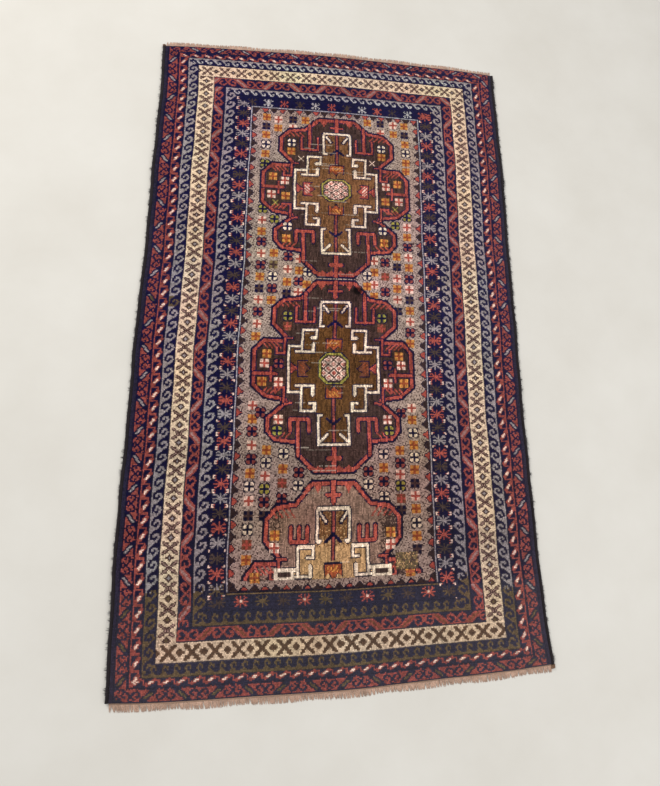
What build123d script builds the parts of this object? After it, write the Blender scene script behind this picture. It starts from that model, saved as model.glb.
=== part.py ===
from build123d import *

import math
import os

# A hand-knotted tribal rug that lies flat on a floor: a plain-woven wool foundation, a cut pile
# whose colour bands and medallions are inlaid side by side, overcast side cords, warp fringes at
# both ends, two corner ties and one rewoven repair.  Millimetres, X across, Y towards the head
# end, Z up, standing on z = 0 with the origin under the middle of the bounding box.

# ---- driving dimensions -------------------------------------------------------------------
KNOTS_ACROSS = 350            # knots in one row of pile
KNOT_ROWS = 609               # rows of knots from the foot end to the head end
HALF_WIDTH = 589.0            # half the pile's width at mid-length
FOOT_FLARE = 5.0              # how much wider each half is at the foot end
BORDER_SPREAD = 13.2          # the borders' knots are a little wider than the field's
FOOT_Y = -1026.0              # middle of the pile's foot edge
HEAD_Y = 1028.0               # middle of the pile's head edge
FOUNDATION_THICK = 3.0        # plain weave of warps and wefts
PILE_HEIGHT = 5.0             # cut wool above the weave
WEB_LENGTH = 4.0              # bare weave beyond the pile at each end
WEB_ROWS = WEB_LENGTH * KNOT_ROWS / (HEAD_Y - FOOT_Y)

SELVEDGE_WIDTH = 10.0         # overcast side cord, outer size
SELVEDGE_HEIGHT = 7.0
SELVEDGE_WRAP = 3.0           # wall of goat hair around the core warps, seen from above
SELVEDGE_WRAP_FLAT = 2.0      # the same wall above and below the core

FRINGE_PITCH = 1.5            # knots from one warp bundle to the next
FRINGE_LENGTH = 16.0
FRINGE_WIDTH = 2.4
FRINGE_THICK = 1.8
FRINGE_LIFT = 0.6             # the warps leave the weave at mid-thickness

TIE_SIZES = {"head_left": 10.0, "foot_right": 13.0}
TIE_FLATNESS = 0.6            # height of a corner tie over its width
TIE_ROUNDING = 0.3
TIE_GAP = 0.5                 # between a tie and the weave beside it

EDGE_STRIPE = 3               # knots in the plain navy stripe beside each side cord
# band name, knots wide on the long sides, rows at the head end, rows at the foot end
BANDS = [
    ("red_outer_border", 10, 8, 10),
    ("guard_border", 9, 7, 7),
    ("running_dog_outer", 11, 9, 10),
    ("ivory_lattice_border", 15, 13, 14),
    ("red_meander_border", 11, 12, 11),
    ("running_dog_inner", 12, 9, 10),
    ("star_border", 15, 11, 12),
]
FIELD_LINE = (1, 1, 2)        # thin frame around the field: sides, head, foot
TOOTH_DEPTH = 6               # sawtooth edging inside the field line, in knots
TOOTH_ROWS = 9.5              # one tooth along a long side
TOOTH_KNOTS = 8.8             # one tooth along an end

MEDALLION_COLUMN = 175        # all three medallions share this column of knots
# medallion: middle row of knots, stretch along the rug, lowest row that is woven
MEDALLIONS = {"head": (449, 1.0, 0), "centre": (265, 1.0, 0), "foot": (69, 1.12, 84)}
OUTLINE_KNOTS = 3.5           # red line around a medallion
IVORY_KNOTS = 2.5             # ivory line of the stepped cross
MEDALLION_TOP = {"head": 82, "centre": 86, "foot": 85}  # rows from the centre to the top edge
# right half of each outline, as knots across and rows up from the medallion's centre
MEDALLION_EDGE = [
    (34, 69), (50, 67), (60, 57), (60, 40), (47, 27), (66, 27), (76, 16),
    (76, -18), (64, -29), (46, -32), (62, -46), (62, -59), (54, -68), (35, -70), (34, -80), (18, -95),
]
IVORY_EDGE = [
    (15, 65), (15, 38), (31, 38), (31, 21), (43, 21),
    (43, -24), (31, -24), (31, -41), (15, -41), (15, -71),
]
ROSETTE_EDGE = [(6, 13), (15, 5), (15, -5), (6, -13)]

PATCH_CENTRE = (238.5, 95.0)  # rewoven repair, column and row of knots
PATCH_SIZE = (20.0, 14.0)

SEGMENT = 40.0                # longest straight run of an outline, in knots


# ---- the loom: from knots to millimetres --------------------------------------------------
def on_rug(column, row):
    """Place of a knot on the finished rug, whose sides lean and whose ends bow a little."""
    u = 2.0 * column / KNOTS_ACROSS - 1.0
    v = 2.0 * row / KNOT_ROWS - 1.0
    to_foot = (1.0 - v) / 2.0
    to_head = (1.0 + v) / 2.0
    lean = 0.3 + 24.6 * v + 8.2 * v ** 2 - 15.7 * v ** 3
    inner_lean = (6.0 * to_head ** 2 - 24.0 * to_foot ** 2 - 5.8 * v) * (1.0 - u * u)
    half_width = HALF_WIDTH - 3.0 * v + FOOT_FLARE * to_foot ** 4
    x = lean + inner_lean + half_width * u + BORDER_SPREAD * (u ** 3 - u)
    bow = 5.5 + 7.0 * u - 20.5 * u * u if v > 0 else -1.0 + 13.0 * u + 17.5 * u * u
    y = FOOT_Y + (HEAD_Y - FOOT_Y) * to_head + bow * abs(v) ** 3
    return x, y


def split_runs(corners):
    """The corners of a closed outline, with its long runs split so that they can bend."""
    points = []
    for start, end in zip(corners, corners[1:] + corners[:1]):
        runs = max(1, math.ceil(math.dist(start, end) / SEGMENT))
        for step in range(runs):
            t = step / runs
            points.append((start[0] + (end[0] - start[0]) * t, start[1] + (end[1] - start[1]) * t))
    return points


def outline_face(corners):
    """Flat face on the rug from corners counted in knots and rows."""
    return make_face(Polyline([on_rug(*point) for point in split_runs(corners)], close=True))


def rectangle(left, right, foot, head):
    return [(left, foot), (right, foot), (right, head), (left, head)]


def pile(face):
    """Cut pile standing on the foundation."""
    return Pos(0, 0, FOUNDATION_THICK) * extrude(face, amount=PILE_HEIGHT)


def inset(corners, distance):
    """The same outline, moved inwards by a number of knots (corners run anticlockwise)."""
    moved = []
    count = len(corners)
    for index in range(count):
        (ax, ay), (bx, by), (cx, cy) = (corners[(index + k - 1) % count] for k in range(3))
        ux, uy = (bx - ax) / math.dist((ax, ay), (bx, by)), (by - ay) / math.dist((ax, ay), (bx, by))
        wx, wy = (cx - bx) / math.dist((bx, by), (cx, cy)), (cy - by) / math.dist((bx, by), (cx, cy))
        turn = ux * wy - uy * wx
        if abs(turn) < 1e-9:
            moved.append((bx - uy * distance, by + ux * distance))
            continue
        slide = distance * (1.0 - ux * wx - uy * wy) / turn
        moved.append((bx - uy * distance - ux * slide, by + ux * distance - uy * slide))
    return moved


def mirrored(right_half, row, stretch):
    """Whole anticlockwise outline from its right half, centred on the medallions' column."""
    left_half = [(-x, y) for x, y in right_half]
    corners = list(reversed(right_half)) + left_half
    return [(MEDALLION_COLUMN + x, row + y * stretch) for x, y in corners]


# ---- foundation, side cords, fringes, ties ------------------------------------------------
def make_foundation():
    foot, head = -WEB_ROWS, KNOT_ROWS + WEB_ROWS
    right = [(KNOTS_ACROSS, foot), (KNOTS_ACROSS, 0), (KNOTS_ACROSS, KNOT_ROWS), (KNOTS_ACROSS, head)]
    left = [(0, head), (0, KNOT_ROWS), (0, 0), (0, foot)]
    return extrude(outline_face(right + left), amount=FOUNDATION_THICK)


def side_strip(side, inner, outer):
    """Strip that follows a long side, between two distances outside the pile's edge, in mm."""
    column = 0 if side < 0 else KNOTS_ACROSS
    runs = math.ceil(KNOT_ROWS / SEGMENT)
    rows = [KNOT_ROWS * step / runs for step in range(runs + 1)]
    near = [on_rug(column, row) for row in rows]
    points = [(x + side * inner, y) for x, y in near]
    points += [(x + side * outer, y) for x, y in reversed(near)]
    return make_face(Polyline(points, close=True))


def make_selvedge_core(side):
    strip = side_strip(side, SELVEDGE_WRAP, SELVEDGE_WIDTH - SELVEDGE_WRAP)
    height = SELVEDGE_HEIGHT - 2 * SELVEDGE_WRAP_FLAT
    return Pos(0, 0, SELVEDGE_WRAP_FLAT) * extrude(strip, amount=height)


def make_selvedge_overcast(side):
    cord = extrude(side_strip(side, 0, SELVEDGE_WIDTH), amount=SELVEDGE_HEIGHT)
    return cord - make_selvedge_core(side)


def make_fringe(end, foundation):
    """Warp bundles that leave the bare weave; end is +1 at the head and -1 at the foot."""
    row = KNOT_ROWS + WEB_ROWS if end > 0 else -WEB_ROWS
    strands = []
    for index in range(1, int(KNOTS_ACROSS / FRINGE_PITCH)):
        x, y = on_rug(index * FRINGE_PITCH, row)
        length = FRINGE_LENGTH + 2.0 * math.sin(1.7 * index) + 1.5 * math.sin(0.31 * index)
        sway = 0.9 * math.sin(0.9 * index)
        half = FRINGE_WIDTH / 2
        root = y - end * 0.4
        tip = y + end * length
        corners = [(x - half, root), (x + half, root), (x + sway + 0.8, tip), (x + sway - 0.8, tip)]
        strand = extrude(make_face(Polyline(corners, close=True)), amount=FRINGE_THICK)
        strands.append(Pos(0, 0, FRINGE_LIFT) * strand - foundation)
    return strands


def make_corner_tie(side, end, size):
    """Knot of spare warps and wool that binds the side cord's end."""
    x, y = on_rug(0 if side < 0 else KNOTS_ACROSS, KNOT_ROWS if end > 0 else 0)
    place = Pos(x + side * (size / 2 + TIE_GAP), y + end * size / 2, size * TIE_FLATNESS / 2)
    knot = place * Box(size, size, size * TIE_FLATNESS)
    return fillet(knot.edges().filter_by(Axis.Z), size * TIE_ROUNDING)


# ---- pile bands ---------------------------------------------------------------------------
def make_edge_stripe(side):
    left = 0 if side < 0 else KNOTS_ACROSS - EDGE_STRIPE
    return pile(outline_face(rectangle(left, left + EDGE_STRIPE, 0, KNOT_ROWS)))


def frame_strips(left, right, foot, head, side_knots, head_rows, foot_rows):
    """Four mitred faces of one band, and the rectangle that is left inside it."""
    inner = (left + side_knots, right - side_knots, foot + foot_rows, head - head_rows)
    a, b, c, d = rectangle(left, right, foot, head)
    e, f, g, h = rectangle(*inner)
    corners = {"foot": [a, b, f, e], "right": [b, c, g, f], "head": [c, d, h, g], "left": [d, a, e, h]}
    return {name: outline_face(points) for name, points in corners.items()}, inner


def sawtooth_outline(left, right, foot, head):
    """Zigzag inner edge of the sawtooth, anticlockwise, with its points towards the field."""
    points = []
    across = round((right - left) / TOOTH_KNOTS)
    along = round((head - foot) / TOOTH_ROWS)
    near, far = TOOTH_DEPTH * 0.12, TOOTH_DEPTH
    for index in range(1, across):
        x = left + (right - left) * index / across
        points.append((x, foot + near))
        points.append((x + (right - left) / across / 2, foot + far))
    for index in range(1, along):
        y = foot + (head - foot) * index / along
        points.append((right - near, y))
        points.append((right - far, y + (head - foot) / along / 2))
    for index in range(1, across):
        x = right - (right - left) * index / across
        points.append((x, head - near))
        points.append((x - (right - left) / across / 2, head - far))
    for index in range(1, along):
        y = head - (head - foot) * index / along
        points.append((left + near, y))
        points.append((left + far, y - (head - foot) / along / 2))
    return points


# ---- the whole rug ------------------------------------------------------------------------
def make_rug():
    """Every piece of the rug, by node name; a node is one piece or a list of like pieces."""
    foundation = make_foundation()
    rug = {"foundation_cloth": foundation}
    rug["fringe_head"] = make_fringe(1, foundation)
    rug["fringe_foot"] = make_fringe(-1, foundation)
    for name, side in (("left", -1), ("right", 1)):
        rug[f"selvedge_core_{name}"] = make_selvedge_core(side)
        rug[f"selvedge_overcast_{name}"] = make_selvedge_overcast(side)
        rug[f"pile_edge_stripe_{name}"] = make_edge_stripe(side)
    rug["corner_tie_head_left"] = make_corner_tie(-1, 1, TIE_SIZES["head_left"])
    rug["corner_tie_foot_right"] = make_corner_tie(1, -1, TIE_SIZES["foot_right"])

    inside = (EDGE_STRIPE, KNOTS_ACROSS - EDGE_STRIPE, 0, KNOT_ROWS)
    for band, side_knots, head_rows, foot_rows in BANDS:
        strips, inside = frame_strips(*inside, side_knots, head_rows, foot_rows)
        for end, face in strips.items():
            rug[f"pile_{band}_{end}"] = pile(face)
    line, inside = frame_strips(*inside, *FIELD_LINE)
    rug["pile_field_line"] = [pile(face) for face in line.values()]

    patch_left = PATCH_CENTRE[0] - PATCH_SIZE[0] / 2
    patch_foot = PATCH_CENTRE[1] - PATCH_SIZE[1] / 2
    patch = outline_face(rectangle(
        patch_left, patch_left + PATCH_SIZE[0], patch_foot, patch_foot + PATCH_SIZE[1]))
    rug["repair_patch"] = pile(patch)

    field = outline_face(rectangle(*inside))
    ground = outline_face(sawtooth_outline(*inside))
    rug["pile_sawtooth_edging"] = pile(field - ground)
    for name, (row, stretch, lowest) in MEDALLIONS.items():
        outer = mirrored([(19, MEDALLION_TOP[name])] + MEDALLION_EDGE, row, stretch)
        cross = mirrored(IVORY_EDGE, row, stretch)
        woven = outline_face(rectangle(inside[0], inside[1], lowest, inside[3]))
        whole = (outline_face(outer) & woven) - patch
        lining = outline_face(inset(outer, OUTLINE_KNOTS)) & whole
        ivory = outline_face(cross) & whole
        heart = outline_face(inset(cross, IVORY_KNOTS)) & whole
        ground = ground - whole
        rug[f"pile_medallion_{name}_outline"] = pile(whole - lining)
        rug[f"pile_medallion_{name}_ground"] = pile(lining - ivory)
        rug[f"pile_medallion_{name}_ivory_cross"] = pile(ivory - heart)
        if name != "foot":
            rosette = outline_face(mirrored(ROSETTE_EDGE, row, stretch))
            rug[f"pile_medallion_{name}_rosette"] = pile(rosette)
            heart = heart - rosette
        rug[f"pile_medallion_{name}_heart"] = pile(heart)
    rug["pile_field_ground"] = pile(ground - patch)
    return rug


def main():
    os.makedirs("parts", exist_ok=True)
    rug = {name: piece if isinstance(piece, list) else [piece] for name, piece in make_rug().items()}
    extent = Compound(children=[solid for pieces in rug.values() for solid in pieces]).bounding_box()
    middle = extent.center()
    home = Pos(-middle.X, -middle.Y, -extent.min.Z)
    for name, pieces in rug.items():
        solids = [home * solid for piece in pieces for solid in piece.solids()]
        node = solids[0] if len(solids) == 1 else Compound(children=solids)
        node.label = name
        export_step(node, f"parts/{name}.step")
    print(len(rug), "nodes, size", extent.size, "moved by", -middle.X, -middle.Y)


main()
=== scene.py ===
import bpy
import numpy as np
from mathutils import Matrix, Vector


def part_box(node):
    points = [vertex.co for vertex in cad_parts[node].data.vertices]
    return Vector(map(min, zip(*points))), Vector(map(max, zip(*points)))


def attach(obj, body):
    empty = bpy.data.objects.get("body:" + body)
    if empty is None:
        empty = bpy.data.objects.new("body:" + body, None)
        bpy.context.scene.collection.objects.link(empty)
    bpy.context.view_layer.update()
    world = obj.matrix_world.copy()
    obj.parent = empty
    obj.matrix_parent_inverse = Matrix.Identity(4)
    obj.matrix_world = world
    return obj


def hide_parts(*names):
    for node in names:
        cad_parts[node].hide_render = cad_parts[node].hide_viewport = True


# A worn hand-knotted rug, seen from above at a slant.  The pattern is woven on a chart with one
# cell for each wool knot, painted band by band, and every knot then becomes one tuft of pile.
# Lengths are in metres on the rug, and in knots and rows on the chart.

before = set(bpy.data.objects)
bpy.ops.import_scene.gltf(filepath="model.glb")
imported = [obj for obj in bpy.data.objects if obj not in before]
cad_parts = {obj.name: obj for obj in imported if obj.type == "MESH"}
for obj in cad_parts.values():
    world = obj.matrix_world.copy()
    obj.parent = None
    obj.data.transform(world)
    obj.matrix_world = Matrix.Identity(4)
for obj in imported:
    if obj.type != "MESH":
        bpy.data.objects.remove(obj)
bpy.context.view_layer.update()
rng = np.random.default_rng(7)


def add_object(name, data):
    made = bpy.data.objects.new(name, data)
    bpy.context.collection.objects.link(made)
    return made


# ---- camera ----
CAMERA_AT = Vector((-0.2351, -0.6152, 1.6098))
LOOKS_ALONG = Vector((0.14827, 0.24745, -0.95749))
CAMERA_RIGHT = Vector((0.98883, -0.02239, 0.14734))
FOCAL_MM, SENSOR_MM = 25.2, 36.0
SHIFT = (-0.0153, -0.0051)


def make_camera():
    data = bpy.data.cameras.new("camera")
    data.lens, data.sensor_width = FOCAL_MM, SENSOR_MM
    data.shift_x, data.shift_y = SHIFT
    data.clip_start, data.clip_end = 0.05, 50.0
    camera = add_object("camera", data)
    forward = LOOKS_ALONG.normalized()
    up = CAMERA_RIGHT.cross(forward).normalized()
    right = forward.cross(up)
    camera.matrix_world = Matrix.Translation(CAMERA_AT) @ Matrix((right, up, -forward)).transposed().to_4x4()
    bpy.context.scene.camera = camera


make_camera()

# ---- the loom: knots to metres, as in the CAD ----
KNOTS, ROWS = 350, 609
HALF_WIDTH, FOOT_FLARE, BORDER_SPREAD = 0.589, 0.005, 0.0132
FOOT_Y, HEAD_Y = -1.026, 1.028
FOUNDATION_TOP, PILE_TOP = 0.003, 0.008
WEB_ROWS = 0.004 * ROWS / (HEAD_Y - FOOT_Y)


def on_rug(column, row):
    """Place of a knot on the rug, before it is centred: the sides lean and the ends bow."""
    u, v = 2.0 * column / KNOTS - 1.0, 2.0 * row / ROWS - 1.0
    to_foot, to_head = (1.0 - v) / 2.0, (1.0 + v) / 2.0
    lean = 0.0003 + 0.0246 * v + 0.0082 * v ** 2 - 0.0157 * v ** 3
    inner_lean = (0.006 * to_head ** 2 - 0.024 * to_foot ** 2 - 0.0058 * v) * (1.0 - u * u)
    half_width = HALF_WIDTH - 0.003 * v + FOOT_FLARE * to_foot ** 4
    x = lean + inner_lean + half_width * u + BORDER_SPREAD * (u ** 3 - u)
    bow = np.where(v > 0, 0.0055 + 0.007 * u - 0.0205 * u * u, -0.001 + 0.013 * u + 0.0175 * u * u)
    y = FOOT_Y + (HEAD_Y - FOOT_Y) * to_head + bow * abs(v) ** 3
    return x, y


def centring():
    """How far the CAD moved the rug to centre it, from the bare weave's own extent."""
    column, row = np.meshgrid(np.linspace(0, KNOTS, 176), np.linspace(-WEB_ROWS, ROWS + WEB_ROWS, 307))
    x, y = on_rug(column, row)
    low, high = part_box("foundation_cloth")
    return (low.x + high.x - x.min() - x.max()) / 2, (low.y + high.y - y.min() - y.max()) / 2


MOVE_X, MOVE_Y = centring()


def ripple(x, y):
    """Low, gentle waves that a limp rug keeps on a floor, in metres above it."""
    wave = np.sin(3.1 * x + 5.3 * y + 0.6) + np.sin(7.9 * x - 3.7 * y + 1.9)
    edge = np.clip((abs(x) - 0.42) / 0.17, 0, 1) * (1.0 + np.sin(9.0 * y + 4.0 * np.sign(x)))
    return 0.0005 * (2.0 + wave) + 0.0011 * edge


def place(column, row, height):
    """Points of the lying rug: column and row in knots, height above the rug's underside."""
    x, y = on_rug(column, row)
    x, y = x + MOVE_X, y + MOVE_Y
    x = x + 0.0014 * np.sin(11.0 * y + 2.0 * x) + 0.0008 * np.sin(31.0 * y + 1.0)
    y = y + 0.0012 * np.sin(13.0 * x + 1.5 * y)
    return np.stack([x, y, height + ripple(x, y)], axis=-1)


# ---- yarns ----
YARNS = {
    "navy": (0.055, 0.045, 0.215), "navy_faded": (0.15, 0.145, 0.215), "edge_navy": (0.15, 0.13, 0.205),
    "red": (0.565, 0.272, 0.24), "coral": (0.655, 0.3, 0.252), "star_red": (0.645, 0.305, 0.26),
    "ivory": (0.905, 0.785, 0.66), "ivory_white": (0.93, 0.825, 0.72),
    "lattice": (0.245, 0.15, 0.135), "lattice_light": (0.56, 0.44, 0.4),
    "lattice_brown": (0.33, 0.24, 0.175),
    "grey": (0.6, 0.55, 0.545), "pale": (0.73, 0.7, 0.69), "pale_line": (0.7, 0.67, 0.69),
    "olive": (0.37, 0.3, 0.205),
    "ground": (0.685, 0.59, 0.54), "speck": (0.29, 0.205, 0.2), "dim_star": (0.27, 0.215, 0.19),
    "tooth_brown": (0.215, 0.15, 0.15), "umber": (0.265, 0.185, 0.165),
    "heart_gold": (0.465, 0.315, 0.195), "heart_olive": (0.368, 0.238, 0.122),
    "ground_worn": (0.56, 0.43, 0.37), "heart_worn": (0.72, 0.56, 0.39),
    "gold": (0.79, 0.53, 0.26), "orange": (0.59, 0.29, 0.17), "pink_white": (0.93, 0.78, 0.7),
    "green": (0.62, 0.57, 0.26), "pink_grey": (0.6, 0.44, 0.42), "rust": (0.45, 0.26, 0.19),
    "tan": (0.52, 0.43, 0.3), "patch": (0.43, 0.36, 0.24), "web": (0.7, 0.56, 0.47),
}
YARN_NUMBER = {name: number for number, name in enumerate(YARNS)}
chart = np.full((ROWS, KNOTS), YARN_NUMBER["navy"])
COLUMN, ROW = np.meshgrid(np.arange(KNOTS) + 0.5, np.arange(ROWS) + 0.5)


def stroke(x, y, points, width):
    """Knots that lie within a run of straight strokes of this width."""
    hit = np.zeros(x.shape, bool)
    for (ax, ay), (bx, by) in zip(points, points[1:]):
        along = ((x - ax) * (bx - ax) + (y - ay) * (by - ay)) / ((bx - ax) ** 2 + (by - ay) ** 2)
        along = np.clip(along, 0, 1)
        hit |= np.hypot(x - ax - along * (bx - ax), y - ay - along * (by - ay)) <= width / 2
    return hit


def inside(x, y, corners):
    """Knots inside a closed outline."""
    hit = np.zeros(x.shape, bool)
    for (ax, ay), (bx, by) in zip(corners, corners[1:] + corners[:1]):
        if ay != by:
            crosses = (ay > y) != (by > y)
            hit ^= crosses & (x < ax + (y - ay) * (bx - ax) / (by - ay))
    return hit


def dye(cells, mask, yarn):
    cells[mask] = YARN_NUMBER[yarn]


# ---- border bands: s runs along a band, d from its outer edge inwards, both in knots ----
# name, then how deep the band is: knots at the sides, rows at the head, rows at the foot
BANDS = [
    ("red_outer_border", 10, 8, 10), ("guard_border", 9, 7, 7), ("running_dog_outer", 11, 9, 10),
    ("ivory_lattice_border", 15, 13, 14), ("red_meander_border", 11, 12, 11),
    ("running_dog_inner", 12, 9, 10), ("star_border", 15, 11, 12),
]
EDGE_STRIPE = 3
FIELD_LINE = (1, 1, 2)  # knots: sides, head, foot
# half of the double hook in a meander's bay
CURL = [(-2.4, 2.4), (2.4, 7.6), (5.2, 8.8), (7.6, 7.4), (7.4, 5.0), (5.2, 4.6)]
# how far a motif is shifted along its band
PHASE = {
    ("star_border", "head"): -7.0, ("star_border", "foot"): -18.0, ("star_border", "left"): 1.6,
    ("red_outer_border", "left"): 9.0, ("red_outer_border", "right"): 4.0,
    ("red_meander_border", "left"): 6.0, ("red_meander_border", "foot"): 5.0,
}
ENDS = ("head", "foot")


def share_of(value, whole):
    return np.clip(value / whole, 0, 1)


def plain(s, yarn):
    return np.full(s.shape, YARN_NUMBER[yarn])


def repeated(s, unit, knots):
    """Distance along one repeat, for a motif drawn on a unit of this many knots."""
    return (s * knots / unit) % knots


def dye_mirrored(cells, u, e, points, width, yarn):
    """A run of strokes and its mirror image."""
    for mirror in (-1.0, 1.0):
        dye(cells, stroke(u * mirror, e, points, width), yarn)


# wave of the running dog: the outline of its foot, then its crest and how wide the crest is
END_WAVES = {
    "foot": ([(-4.4, 1.5), (4.4, 1.5), (1.2, 4.6), (-0.6, 4.6)],
             [(0.2, 4.0), (-1.4, 6.4), (0.4, 8.8), (3.0, 8.4), (3.4, 6.4)], 1.7),
    "head": ([(-3.5, 1.5), (5.2, 1.5), (1.2, 4.4)],
             [(0.2, 3.4), (3.4, 7.4), (6.0, 8.3), (7.4, 6.2), (5.6, 5.2)], 1.5),
}
SIDE_WAVE = ([(-3.0, 1.5), (4.6, 1.5), (5.2, 3.8), (3.4, 5.4), (1.0, 4.0)],
             [(1.6, 4.0), (4.2, 7.4), (6.8, 8.9), (9.2, 7.8), (9.3, 5.6), (7.3, 4.9)], 1.7)


def paint_running_dog(s, d, side, depth):
    cells = plain(s, "navy")
    u, d = repeated(s, 8.75 if side in ENDS else 10.7, 11.0), d * 11.0 / depth
    wedge, crest, width = END_WAVES.get(side, SIDE_WAVE)
    for shift in (-11.0, 0.0, 11.0):
        dye(cells, inside(u + shift, d, wedge), "grey")
        dye(cells, stroke(u + shift, d, crest, width), "pale" if side == "head" else "grey")
    dye(cells, (d > 0.5) & (d < 1.8), "grey")
    return cells


def paint_guard(s, d, side, depth):
    cells = plain(s, "navy")
    u = repeated(s, 11.3 if side in ENDS else 11.7, 11.0)
    e = (d - 5.2) * (-1.0 if side == "right" else 1.0)
    for shift in (-11.0, 0.0, 11.0):
        x = u + shift
        step = [(-2.6, 2.5), (0.4, 2.5), (0.4, -2.5), (3.2, -2.5)]
        dye(cells, stroke(x, e, step, 1.3), "red")
        dye(cells, stroke(x, e, [(2.8, -2.0), (8.4, 2.1)], 3.1), "red")
        dye(cells, stroke(x, e, [(4.2, -0.9), (6.6, 0.8)], 1.7), "pink_white")
    dye(cells, (d > 0.9) & (d < 1.8), "red")
    return cells


def paint_lattice(s, d, side, depth):
    cells = plain(s, "ivory")
    unit = {"head": 17.0, "foot": 18.3}.get(side, 15.4)
    u = repeated(s, unit, 15.4) - 7.7
    e = d - 7.5
    x, y, apart = abs(u) * 1.28, abs(e), abs(abs(u) - 7.7)
    reach, slope = np.maximum(x, y), abs(x - y)
    yarn = "lattice_brown" if side == "foot" else "lattice"
    dye(cells, (slope < 2.1) & (reach < 6.9), yarn)
    dye(cells, (slope < 2.9) & (reach > 4.5) & (reach < 5.5), yarn)
    diamond = apart / 3.2 + y / 3.6
    dye(cells, diamond < 1.0, yarn)
    if side != "foot":
        dye(cells, (slope < 0.7) & (reach > 0.9) & (reach < 6.2), "lattice_light")
        dye(cells, diamond < 0.42, "grey")
    return cells


def meander_bays(s, d, bay, depth):
    """Distance from the middle of a bay, and from its open side, which changes each time."""
    return s % bay - bay / 2, np.where(np.floor(s / bay) % 2 == 0, d, depth - d)


def paint_meander(s, d, side, depth):
    cells = plain(s, "navy")
    u, e = meander_bays(s, d, 27.6, depth)
    dye_mirrored(cells, u, e, CURL, 1.6, "red")
    bar = [(9.2, 1.8), (18.4, 9.4)]
    dye_mirrored(cells, u, e, bar, 5.2, "red")
    dye_mirrored(cells, u, e, bar, 1.9, "rust" if side == "foot" else "pink_grey")
    dye(cells, (abs(u) < 9) & (e > 0.7) & (e < 1.7), "red")
    dye(cells, (d < 0.7) | (d > depth - 0.7), "navy")
    return cells


def paint_red_border(s, d, side, depth):
    cells = plain(s, "red")
    bay = 25.5 if side in ENDS else 24.0
    u, e = meander_bays(s, d, bay, depth)
    dye_mirrored(cells, u, e - 0.4, [(x * 0.86, y * 0.84) for x, y in CURL], 1.7, "navy")
    dye(cells, (abs(u) < 1.6) & (e < 2.2), "navy")
    for run, margin, width, yarn in ((4.4, 1.6, 4.4, "navy"), (2.6, 3.2, 1.5, "grey")):
        bar = [(bay / 2 - run, margin), (bay / 2 + run, depth - margin)]
        dye_mirrored(cells, u, e, bar, width, yarn)
    dye(cells, (d < 1.0) | ((d > depth - 1.0) & (rng.random(s.shape) < 0.8)), "navy")
    return cells


# one quarter of a star, as shares of its half width and half height
STAR_ARMS = [
    [(0.0, 0.0), (0.0, 1.0)], [(0.0, 0.0), (1.0, 0.0)],
    [(0.0, 0.0), (0.80, 0.76)], [(0.58, 0.92), (0.80, 0.76)],
]


def paint_stars(s, d, side, depth):
    cells = plain(s, "navy")
    unit = {"head": 16.6, "foot": 17.5}.get(side, 11.9)
    wide, tall = (5.2, 4.8) if side in ENDS else (4.3, 5.7)
    number, u = np.floor(s / unit), s % unit - unit / 2
    e = d - (8.2 if side in ENDS else 7.2)
    order = {"head": ("dim_star", "pale", "star_red"), "foot": ("star_red", "olive", "dim_star"),
             "left": ("dim_star", "grey", "star_red"), "right": ("dim_star", "star_red", "grey")}[side]
    star = np.zeros(s.shape, bool)
    for arm in STAR_ARMS:
        star |= stroke(abs(u), abs(e), [(x * wide, y * tall) for x, y in arm], 1.25)
    for turn, yarn in enumerate(order):
        dye(cells, star & (number % 3 == turn), yarn)
    if side == "foot":
        dye(cells, (abs(u) < 1.2) & (abs(e) < 1.2) & (number % 3 == 0), "pink_white")
    if side not in ENDS:
        gap_u, gap_e = abs(abs(u) - unit / 2), abs(e) - 5.5
        dots = (gap_u < 1.3) & (abs(gap_e) < 1.5) & ((gap_u > 0.5) | (gap_e > 0.3))
        dye(cells, dots, "pink_white")
        dye(cells, dots & (gap_e < -0.3), "coral")
    return cells


# each painter returns a band's cells from s, d, the side of the rug and the band's depth
PAINTERS = {
    "red_outer_border": paint_red_border, "guard_border": paint_guard,
    "running_dog_outer": paint_running_dog, "running_dog_inner": paint_running_dog,
    "ivory_lattice_border": paint_lattice, "red_meander_border": paint_meander,
    "star_border": paint_stars,
}
# bands whose strips at the ends run right out to the corners
ENDS_OWN_CORNERS = ("ivory_lattice_border", "red_meander_border")


def weave_band(name, frame_box, knots, head_rows, foot_rows):
    """Paints one band round the rug and returns its cells and the rectangle inside it."""
    left, right, foot, head = frame_box
    depth = {
        "left": (COLUMN - left) / knots, "right": (right - COLUMN) / knots,
        "foot": (ROW - foot) / foot_rows, "head": (head - ROW) / head_rows,
    }
    nearest = np.minimum.reduce(list(depth.values()))
    band = (nearest >= 0) & (nearest < 1)
    taken = np.zeros(band.shape, bool)
    for side in ("head", "foot", "left", "right"):
        share = depth[side]
        limit = 1.0 if name in ENDS_OWN_CORNERS and side in ENDS else nearest + 1e-9
        own = band & ~taken & (share < 1) & (share <= limit)
        taken |= own
        s = (COLUMN - left if side in ENDS else ROW - foot)[own] + PHASE.get((name, side), 0.0)
        chart[own] = PAINTERS[name](s, (share * knots)[own], side, knots)
    return band, (left + knots, right - knots, foot + foot_rows, head - head_rows)


# ---- the field, its flowers and the three medallions ----
MIDDLE = 175
# row of the centre, stretch along the rug, and the row below which nothing is woven
MEDALLIONS = {"head": (449, 1.0, 0), "centre": (265, 1.0, 0), "foot": (69, 1.12, 84)}
TOP = {"head": 82, "centre": 86, "foot": 85}
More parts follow.
